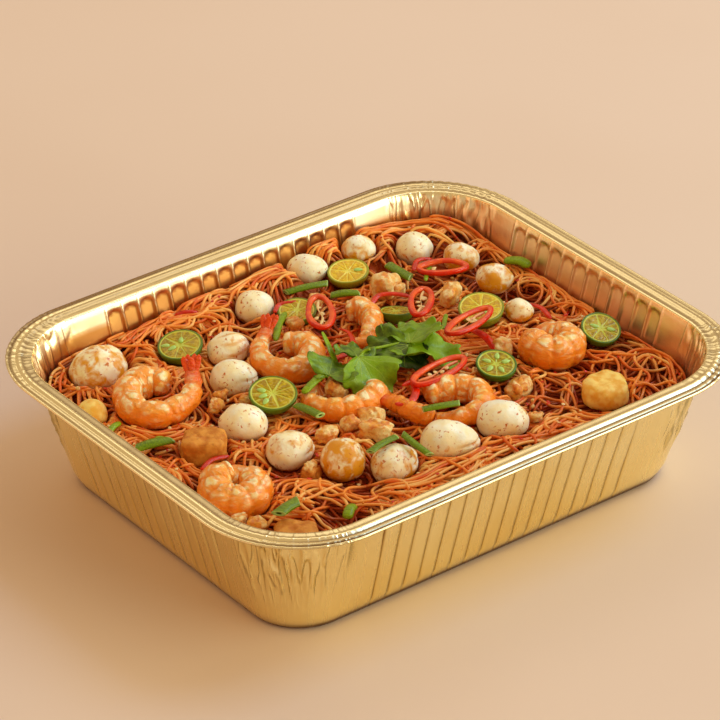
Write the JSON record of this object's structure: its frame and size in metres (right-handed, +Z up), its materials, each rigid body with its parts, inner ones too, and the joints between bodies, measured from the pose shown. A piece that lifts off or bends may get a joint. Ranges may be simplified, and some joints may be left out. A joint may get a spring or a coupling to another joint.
{
  "type": "foil tray meal",
  "caption": "Deep gold foil tray with fluted walls and a rolled rim, filled with stir-fried noodles topped with small eggs, prawns, citrus halves, tofu, chilli and spring onion.",
  "frame": {"origin": "centre of the underside of the tray's base, on the surface that the tray stands on", "axes": "+X along the tray's length, +Y along its width towards the back, +Z up"},
  "size_m": [0.3192, 0.265, 0.0714],
  "materials": {
    "gold_foil": "gold-coloured foil, bright on the rim and soft on the walls",
    "noodle": "thin rice noodles, moist with orange-red sauce",
    "egg": "peeled small eggs with sauce stains, softly glossy",
    "fish_paste": "golden fried skin",
    "prawn": "cooked prawn, orange bands over pale flesh, moist",
    "citrus": "green rind, olive-yellow flesh with pale pith and seeds",
    "tofu": "fried tofu, dry golden-brown skin",
    "chilli": "red chilli, glossy skin",
    "spring_onion": "green leaf, satin"
  },
  "bodies": {
    "root": {"chilli_1": "chilli", "chilli_2": "chilli", "chilli_3": "chilli", "chilli_4": "chilli", "chilli_5": "chilli", "citrus_half_1": "citrus", "citrus_half_2": "citrus", "citrus_half_3": "citrus", "citrus_half_4": "citrus", "citrus_half_5": "citrus", "citrus_half_6": "citrus", "citrus_half_7": "citrus", "citrus_half_8": "citrus", "egg_01": "egg", "egg_02": "egg", "egg_03": "egg", "egg_04": "egg", "egg_05": "egg", "egg_06": "egg", "egg_07": "egg", "egg_08": "egg", "egg_09": "egg", "egg_10": "egg", "egg_11": "egg", "egg_12": "egg", "egg_13": "egg", "egg_14": "egg", "egg_15": "egg", "egg_16": "egg", "fish_ball": "fish_paste", "fish_cake": "fish_paste", "noodles": "noodle", "prawn_1": "prawn", "prawn_2": "prawn", "prawn_3": "prawn", "prawn_4": "prawn", "prawn_5": "prawn", "prawn_6": "prawn", "prawn_7": "prawn", "prawn_8": "prawn", "spring_onion_1": "spring_onion", "spring_onion_2": "spring_onion", "spring_onion_3": "spring_onion", "spring_onion_4": "spring_onion", "spring_onion_5": "spring_onion", "spring_onion_6": "spring_onion", "spring_onion_7": "spring_onion", "spring_onion_8": "spring_onion", "spring_onion_9": "spring_onion", "tofu_dice_1": "tofu", "tofu_dice_2": "tofu", "tofu_dice_3": "tofu", "tofu_dice_4": "tofu", "tofu_dice_5": "tofu", "tofu_dice_6": "tofu", "tofu_dice_7": "tofu", "tofu_puff_1": "tofu", "tofu_puff_2": "tofu", "tofu_puff_3": "tofu", "tray": "gold_foil"}
  },
  "joints": []
}
